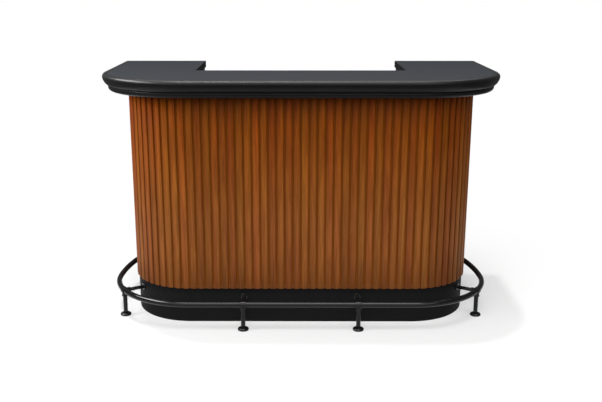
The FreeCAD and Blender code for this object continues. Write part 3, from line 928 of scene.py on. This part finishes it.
def slat_places(run):
    """(foot point, outward direction) of every slat of a run, from the left round to the right."""
    if run == "front":
        distance = middles(AXIS_X)
        x = np.concatenate([-distance[::-1], distance])
        foot = np.stack([x, np.full(len(x), FRONT_PANEL[0].y)], 1)
        return foot, np.broadcast_to([0.0, -1.0], foot.shape)
    side, part = run.split("_")
    if part == "side":
        y = AXIS_Y + middles(CABINET_BACK - AXIS_Y)[::-1]
        foot = np.stack([np.full(len(y), SIDE_PANEL[0].x), y], 1)
        direction = np.broadcast_to([-1.0, 0.0], foot.shape)
    else:
        angle = middles(FACE_RADIUS * math.pi / 2) / FACE_RADIUS
        direction = np.stack([-np.cos(angle), -np.sin(angle)], 1)
        foot = np.array([-AXIS_X, AXIS_Y]) + direction * SHELL_RADIUS
    if side == "right":
        return mirrored(foot), mirrored(direction)
    return foot, direction


def point_attribute(mesh, name, values):
    attribute = mesh.attributes.new(name, "FLOAT", "POINT")
    attribute.data.foreach_set("value", np.ravel(values).astype(np.float32))


def grain_map(mesh, points, section, index):
    """UV map that follows each slat: u runs round its section and v up its height.

    Both move on by a fixed step from slat to slat, so that no two show the same grain.
    """
    girth = np.concatenate([[0], np.cumsum(np.linalg.norm(np.diff(section, axis=0), axis=1))])
    u = np.broadcast_to(girth[None, None] + index[:, None, None] * GRAIN_OFFSET[0], points.shape[:3])
    v = points[..., 2] + index[:, None, None] * GRAIN_OFFSET[1]
    point_uv = np.stack([u, v], -1).reshape(-1, 2)
    corner_point = np.empty(len(mesh.loops), np.int32)
    mesh.loops.foreach_get("vertex_index", corner_point)
    layer = mesh.uv_layers.new(name="grain")
    layer.data.foreach_set("uv", point_uv[corner_point].ravel())


def slat_run(run, first):
    """All slats of a run as one piece, with a length-wise UV map and a tone for each slat.

    point = foot + across * a + direction * out + up * height over the section's (a, out).
    """
    foot, direction = slat_places(run)
    section = counter_clockwise(slat_section())
    levels = eased_levels(FRONT_SLATS[0].z, FRONT_SLATS[1].z, SLAT_EASE, 2)
    shape = section[None] + inward(section)[None] * levels[:, 0, None, None]
    across = -turned_left(direction)
    plan = (foot[:, None, None] + across[:, None, None] * shape[None, ..., :1]
            + direction[:, None, None] * shape[None, ..., 1:])
    height = np.broadcast_to(levels[None, :, 1, None, None], (*plan.shape[:3], 1))
    points = np.concatenate([plan, height], -1)
    node = run + "_slats"
    made = piece(node + "_dressed", joined([skin(slat) for slat in points]), made_once(slat_finish),
                 [node], sharp=60)
    index = first + np.arange(len(foot))
    grain_map(made.data, points, section, index)
    for name, salt in (("slat_tone", 1), ("slat_hue", 2)):
        draw = np.random.default_rng([sizes().seed, salt]).random(SLAT_DRAWS)[index]
        point_attribute(made.data, name, np.repeat(draw, points.shape[1] * points.shape[2]))
    # slat_across runs from -1 at a slat's left edge to 1 at its right; the slat finish paints shade
    # along the left edge from it.
    share = section[:, 0] * 2 / sizes().slat_width
    point_attribute(made.data, "slat_across", np.broadcast_to(-share, points.shape[:3]))
    return len(foot)


class COUNTER_OT_slats(bpy.types.Operator):
    """Upright varnished slats round the front, the corners and the sides"""
    bl_idname = "counter.slats"
    bl_label = "Slats"

    def execute(self, context):
        first = 0
        for run in ("left_side", "left_corner", "front", "right_corner", "right_side"):
            first += slat_run(run, first)
        return {"FINISHED"}


# body ------------------------------------------------------------------------

def quarter_ring(inner, outer):
    """Plan of a board bent round the left corner."""
    return np.vstack([left_turn(outer), left_turn(inner)[::-1]])


def wing_ring(radius, inner_x, back):
    """Plan of a level board over the left wing, with the corner's round as far as inner_x."""
    past = max(0.0, inner_x - AXIS_X)
    arc = left_turn(radius, end=math.degrees(math.acos(past / radius)))
    return np.vstack([[(-AXIS_X - radius, back)], arc, [(-inner_x, arc[-1, 1]), (-inner_x, back)]])


class COUNTER_OT_body(bpy.types.Operator):
    """Panels behind the slats, base boards, partitions and end panels"""
    bl_idname = "counter.body"
    bl_label = "Body"

    def execute(self, context):
        upright = board_along(GRAIN_Z)
        wood = finishes()
        # the backing behind the slats, its colours darkened as painted groove shade
        shaded_backing = made_once(board_finish, "slat_ground", GRAIN_Z,
                           tuple(wood.ground_light), tuple(wood.ground_dark), 0.05)
        veneer = made_once(board_finish, "end_veneer", GRAIN_Z,
                           tuple(wood.slat_light), tuple(wood.slat_dark))
        span = (FRONT_PANEL[0].z, FRONT_PANEL[1].z)
        board("front_panel", box_ring(FRONT_PANEL), *span, shaded_backing, ease=PANEL_EASE)
        both_sides("corner_panel", quarter_ring(INNER_RADIUS, SHELL_RADIUS), *span, shaded_backing,
                   ease=PANEL_EASE)
        both_sides("side_panel", box_ring(SIDE_PANEL), *span, shaded_backing, ease=PANEL_EASE)
        both_sides("end_panel", box_ring(END_PANEL), *span, veneer, "end_veneer")
        both_sides("partition", box_ring(PARTITION), *span, upright)
        board("center_divider", box_ring(DIVIDER), *span, upright)
        span = (CENTER_BASE[0].z, CENTER_BASE[1].z)
        bases = both_sides("base", wing_ring(SHELL_RADIUS, WELL_HALF, CABINET_BACK), *span,
                           board_along(GRAIN_Y), ease=PANEL_EASE)
        bases.append(board("center_base", box_ring(CENTER_BASE), *span, board_along(GRAIN_X),
                           ease=PANEL_EASE))
        # the base boards' outer faces show in the grooves between the slats and take the backing's
        # colours, painted groove shade included
        for base in bases:
            mark_stained_or_shaded(base, outside_shell)
        return {"FINISHED"}


class COUNTER_OT_shelves(bpy.types.Operator):
    """Shelves of the middle bays and of the wings, on steel pins"""
    bl_idname = "counter.shelves"
    bl_label = "Shelves"

    def execute(self, context):
        for level in (1, 2):
            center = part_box("left_center_shelf_%d" % level)
            both_sides("center_shelf_%d" % level, box_ring(center), center[0].z, center[1].z,
                       board_along(GRAIN_X))
            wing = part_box("left_wing_shelf_%d" % level)
            both_sides("wing_shelf_%d" % level, wing_ring(-wing[0].x - AXIS_X, -wing[1].x, wing[1].y),
                       wing[0].z, wing[1].z, board_along(GRAIN_Y))
        keep("shelf_pins", made_once(steel_finish))
        keep("worktop_screws", made_once(steel_finish))
        return {"FINISHED"}


class COUNTER_OT_plinth(bpy.types.Operator):
    """Black plinth boards and the set-back toe boards behind"""
    bl_idname = "counter.plinth"
    bl_label = "Plinth"

    def execute(self, context):
        details = (0.0, FRONT_PLINTH[1].z, made_once(plinth_finish), "black_lacquer", PLINTH_EASE)
        board("front_plinth", box_ring(FRONT_PLINTH), *details)
        both_sides("corner_plinth", quarter_ring(INNER_RADIUS, SHELL_RADIUS), *details)
        side = rectangle(SIDE_PANEL[0].x, SIDE_PANEL[1].x, AXIS_Y, WING_END)
        both_sides("side_plinth", side, *details)
        both_sides("end_plinth", box_ring(END_PLINTH), *details)
        both_sides("side_kick", box_ring(SIDE_KICK), *details)
        board("center_kick", box_ring(CENTER_KICK), *details)
        return {"FINISHED"}


# foot rail -------------------------------------------------------------------

def rail_side_path(bend_steps=16, run_steps=20, corner_steps=40):
    """Left half of the rail's centre line, from its end at the plinth to the middle of the front.

    It is made of arcs that touch: the end bend, the long return that leans in, and the corner. With
    R the return's radius and r the bend's, the lean angle has cos = (reach - R offset) / (R - r).
    """
    big = sizes().return_radius
    small = sizes().end_bend_radius
    return_x = -(AXIS_X + RAIL_RUN) + big
    bend_x = SIDE_PANEL[0].x - sizes().end_straight
    lean = math.acos((return_x - bend_x) / (big - small))
    bend_y = AXIS_Y + (big - small) * math.sin(lean)
    bend = np.linspace(math.pi / 2, lean, bend_steps)
    end_bend = np.stack([bend_x - small * np.cos(bend), bend_y + small * np.sin(bend)], 1)
    run = np.linspace(lean, 0, run_steps)[1:]
    side_run = np.stack([return_x - big * np.cos(run), AXIS_Y + big * np.sin(run)], 1)
    start = [(SIDE_PANEL[0].x, bend_y + small)]
    return np.vstack([start, end_bend, side_run, left_turn(RAIL_RUN, corner_steps)[1:]])


class Post:
    """Place of one post: the rail's centre over it and the level direction to the plinth."""

    def __init__(self, x, y, inward_x, inward_y):
        self.center = np.array([x, y, RAIL_HEIGHT])
        self.inward = np.array([inward_x, inward_y, 0.0])
        self.along = np.array([-inward_y, inward_x, 0.0])
        self.reach = RAIL_RUN - SHELL_RADIUS
        self.seat = self.center + self.inward * self.reach
        self.floor = self.center * [1, 1, 0]


def front_post(x):
    return Post(x, AXIS_Y - RAIL_RUN, 0.0, 1.0)


def corner_post(side):
    """Post under the corner's bend, on the left (-1) or the right (1)."""
    angle = sizes().corner_post_angle
    across = math.cos(angle)
    forward = math.sin(angle)
    return Post(side * (AXIS_X + RAIL_RUN * across), AXIS_Y - RAIL_RUN * forward,
                -side * across, forward)


def posts():
    """The four posts by the names of their nodes, from left to right."""
    front_x = (POST[0].x + POST[1].x) / 2
    return {"left_corner": corner_post(-1), "left_front": front_post(front_x),
            "right_front": front_post(-front_x), "right_corner": corner_post(1)}


def foot_profile(rim_steps=6, dome_steps=12):
    """Domed foot: a rim that swells out from the floor, then a dome up to the post.

    The rim is a quarter wave, radius = rim - swell (1 - cos a); the dome is a quarter ellipse.
    """
    hub = POST_RADIUS + SOCKET_WALL
    angle = np.linspace(-math.pi / 2, 0, rim_steps)
    rim = np.stack([FOOT_RIM_HEIGHT * (1 + np.sin(angle)),
                    FOOT_RADIUS - FOOT_RIM_SWELL * (1 - np.cos(angle))], 1)
    angle = np.linspace(0, math.pi / 2, dome_steps)[1:]
    dome = np.stack([FOOT_RIM_HEIGHT + (FOOT_TOP - FOOT_RIM_HEIGHT) * np.sin(angle),
                     hub + (FOOT_RADIUS - hub) * np.cos(angle)], 1)
    collar = [(FOOT_TOP, hub - FOOT_LIP), (FOOT_TOP - FOOT_LIP, POST_RADIUS + FOOT_LIP / 3)]
    return np.vstack([rim, dome, collar])


def clamp_surface(post):
    """Sleeve round the rail with a beaded socket below for the post and one behind for the strut."""
    sleeve_radius = CLAMPS[1].z - RAIL_HEIGHT
    sleeve = turned(eased_rod(CLAMP_LENGTH, sleeve_radius, SLEEVE_EASE),
                    post.center - post.along * (CLAMP_LENGTH / 2), post.along, segments=40)
    socket_radius = POST_RADIUS + SOCKET_WALL
    depth = RAIL_HEIGHT - CLAMPS[0].z
    mouth = post.center - UP * depth
    lower = turned(eased_rod(depth, socket_radius, SOCKET_EASE), mouth, UP)
    collar = turned(eased_rod(COLLAR_HEIGHT, socket_radius + SOCKET_BEAD, SOCKET_BEAD), mouth, UP)
    behind = turned(eased_rod(sleeve_radius + STRUT_SOCKET_DEPTH, STRUT_RADIUS + SOCKET_WALL,
                              SOCKET_EASE), post.center, post.inward)
    return joined([sleeve, lower, collar, behind])


def plate_profile(radius, thickness, steps=6):
    """Round plate that lies against the plinth, its rim a quarter circle."""
    rounding = thickness * ROSE_ROUNDING
    angle = np.linspace(0, math.pi / 2, steps)
    rim = np.stack([thickness - rounding + rounding * np.sin(angle),
                    radius - rounding + rounding * np.cos(angle)], 1)
    return np.vstack([[(0.0, radius)], rim])


class COUNTER_OT_rail(bpy.types.Operator):
    """Bent foot rail round the guest side"""
    bl_idname = "counter.rail"
    bl_label = "Foot rail"

    def execute(self, context):
        left = rail_side_path()
        path = np.vstack([left, mirrored(left)])
        level = np.column_stack([path, np.full(len(path), RAIL_HEIGHT)])
        piece("foot_rail_tube", tube(level, RAIL_RADIUS), made_once(enamel_finish),
              ["foot_rail"])
        return {"FINISHED"}


class COUNTER_OT_rail_fittings(bpy.types.Operator):
    """Posts, feet, clamps, struts and round plates of the foot rail"""
    bl_idname = "counter.rail_fittings"
    bl_label = "Rail fittings"

    def execute(self, context):
        enamel = made_once(enamel_finish)
        places = posts()
        for name, post in places.items():
            start = post.floor + UP * (FOOT_TOP / 2)
            length = RAIL_HEIGHT - RAIL_RADIUS - start[2]
            bar = turned(eased_rod(length, POST_RADIUS), start, UP)
            piece(name + "_post_bar", bar, enamel, [name + "_post"])
        feet = [turned(foot_profile(), post.floor, UP, segments=48) for post in places.values()]
        clamps = [clamp_surface(post) for post in places.values()]
        struts = [turned(eased_rod(post.reach - RAIL_RADIUS, STRUT_RADIUS, STRUT_EASE),
                         post.center + post.inward * RAIL_RADIUS, post.inward)
                  for post in places.values()]
        plates = [turned(plate_profile(ROSE_RADIUS, ROSE_THICKNESS), post.seat, -post.inward)
                  for post in places.values()]
        rail_end = np.array([*rail_side_path()[0], RAIL_HEIGHT])
        for side in (-1, 1):
            plates.append(turned(plate_profile(END_ROSE_RADIUS, END_ROSE_THICKNESS),
                                 rail_end * [-side, 1, 1], (side, 0, 0), segments=40))
        for name, parts, node in (("domed_feet", feet, "post_feet"),
                                  ("clamp_fittings", clamps, "rail_clamps"),
                                  ("strut_bars", struts, "rail_struts"),
                                  ("round_plates", plates, "wall_roses")):
            piece(name, joined(parts), enamel, [node])
        return {"FINISHED"}


# ---- stage ------------------------------------------------------------------

SENSOR_WIDTH = 36                          # millimetres
SUN_DISTANCE = 5                           # where a sun's lamp stands; its light is the same

# Panel lights: place, target, width and height in metres.
REAR_LIGHT = ((0.0, 1.6, 3.4), (0.0, -0.4, 1.0), 4.0, 1.3)
CORNER_LIGHT = ((-2.5, -0.45, 2.5), (-0.7, -0.3, 1.06), 2.4, 1.1)
SIDE_LIGHT = ((-3.0, -1.0, 1.9), (-0.8, -0.2, 0.8), 1.2, 1.2)


def placed_light(name, data, place, target):
    """Lamp at a place that shines towards a target."""
    light = bpy.data.objects.new(name, data)
    light.location = place
    light.rotation_mode = "QUATERNION"
    light.rotation_quaternion = (target - place).to_track_quat("-Z", "Y")
    bpy.context.scene.collection.objects.link(light)
    return light


def add_sun(name, strength, azimuth, elevation, spread):
    """Distant light; azimuth 0 is in front of the counter and grows to the guest's right."""
    data = bpy.data.lights.new(name, "SUN")
    data.energy = strength
    data.angle = spread
    towards = Vector((math.sin(azimuth) * math.cos(elevation),
                      -math.cos(azimuth) * math.cos(elevation), math.sin(elevation)))
    return placed_light(name, data, towards * SUN_DISTANCE, Vector((0, 0, 0)))


def add_panel(name, power, place, target, width, height):
    """Rectangular soft panel at a place, aimed at a target."""
    data = bpy.data.lights.new(name, "AREA")
    data.energy = power
    data.shape = "RECTANGLE"
    data.size = width
    data.size_y = height
    return placed_light(name, data, Vector(place), Vector(target))


def add_lights():
    """Three suns and the side panel light the counter; the other lights show only in its gloss."""
    values = studio()
    add_sun("key", values.key_strength, values.key_azimuth, values.key_elevation, values.key_spread)
    add_sun("top", values.top_strength, values.top_azimuth, values.top_elevation, values.top_spread)
    add_sun("overhead", values.overhead_strength, values.key_azimuth, values.overhead_elevation,
            values.overhead_spread)
    glint = add_sun("glint", values.glint_strength, 0.0, values.glint_elevation, values.glint_spread)
    rear = add_panel("rear", values.rear_power, *REAR_LIGHT)
    corner = add_panel("corner", values.corner_power, *CORNER_LIGHT)
    for light in (glint, rear, corner):
        light.visible_diffuse = False
    side = add_panel("side", values.side_power, *SIDE_LIGHT)
    side.visible_glossy = False


def add_world():
    """Even white light all round."""
    world = bpy.data.worlds.new("studio")
    world.use_nodes = True
    background = world.node_tree.nodes["Background"]
    background.inputs["Color"].default_value = (1, 1, 1, 1)
    background.inputs["Strength"].default_value = studio().fill_strength
    bpy.context.scene.world = world


def add_camera():
    """Camera in front, slightly above the worktop, looking down at the counter."""
    values = studio()
    pitch = values.pitch
    yaw = values.yaw
    forward = Vector((math.sin(yaw) * math.cos(pitch), math.cos(yaw) * math.cos(pitch),
                      -math.sin(pitch)))
    right = Vector((math.cos(yaw), -math.sin(yaw), 0))
    up = right.cross(forward)
    data = bpy.data.cameras.new("camera")
    data.lens = values.lens
    data.sensor_width = SENSOR_WIDTH
    data.shift_x = values.shift[0]
    data.shift_y = values.shift[1]
    camera = bpy.data.objects.new("camera", data)
    turn = Matrix((right, up, -forward)).transposed()
    camera.matrix_world = Matrix.Translation(values.camera_place) @ turn.to_4x4()
    bpy.context.scene.collection.objects.link(camera)
    bpy.context.scene.camera = camera


def add_floor(name, x0, x1, y0, y1):
    """Level rectangle of studio floor."""
    mesh = bpy.data.meshes.new(name)
    mesh.from_pydata([(x, y, 0.0) for x, y in rectangle(x0, x1, y0, y1)], [], [(0, 1, 2, 3)])
    mesh.materials.append(made_once(floor_finish))
    floor = bpy.data.objects.new(name, mesh)
    bpy.context.scene.collection.objects.link(floor)
    return floor


def add_floors():
    """Floor under and round the counter, and its far parts, which don't show in gloss.

    The apron in front of the counter also sheds no light on it.
    """
    values = studio()
    front = -values.floor_front
    side = values.floor_side
    back = values.floor_back
    reach = values.floor_reach
    add_floor("floor", -side, side, front, back)
    apron = add_floor("floor_apron", -reach, reach, -reach, front)
    apron.visible_diffuse = False
    far = [apron, add_floor("floor_left", -reach, -side, front, reach),
           add_floor("floor_right", side, reach, front, reach),
           add_floor("floor_back", -side, side, back, reach)]
    for floor in far:
        floor.visible_glossy = False


class COUNTER_OT_stage(bpy.types.Operator):
    """Pale floor, soft lights and the camera"""
    bl_idname = "counter.stage"
    bl_label = "Stage"

    def execute(self, context):
        add_floors()
        add_world()
        add_lights()
        add_camera()
        context.scene.view_settings.view_transform = "Standard"
        return {"FINISHED"}


# ---- panel and registration -------------------------------------------------

OPERATORS = (COUNTER_OT_worktop, COUNTER_OT_slats, COUNTER_OT_body, COUNTER_OT_shelves,
             COUNTER_OT_plinth, COUNTER_OT_rail, COUNTER_OT_rail_fittings, COUNTER_OT_stage)
GROUPS = {"counter_sizes": CounterSizes, "counter_finishes": CounterFinishes,
          "counter_studio": CounterStudio}


class COUNTER_PT_panel(bpy.types.Panel):
    """Settings and steps of the bar counter"""
    bl_idname = "COUNTER_PT_panel"
    bl_label = "Bar Counter"
    bl_space_type = "VIEW_3D"
    bl_region_type = "UI"
    bl_category = "Bar Counter"

    def draw(self, context):
        for group_name in GROUPS:
            group = getattr(context.scene, group_name)
            box = self.layout.box()
            for name in group.__annotations__:
                box.prop(group, name)
        for operator in OPERATORS:
            self.layout.operator(operator.bl_idname)


def register():
    for group_name, group in GROUPS.items():
        bpy.utils.register_class(group)
        setattr(bpy.types.Scene, group_name, PointerProperty(type=group))
    for item in (*OPERATORS, COUNTER_PT_panel):
        bpy.utils.register_class(item)


def unregister():
    for item in reversed((*OPERATORS, COUNTER_PT_panel)):
        bpy.utils.unregister_class(item)
    for group_name, group in GROUPS.items():
        delattr(bpy.types.Scene, group_name)
        bpy.utils.unregister_class(group)


def main():
    register()
    for operator in OPERATORS:
        family, name = operator.bl_idname.split(".")
        getattr(getattr(bpy.ops, family), name)()


if __name__ == "__main__":
    main()
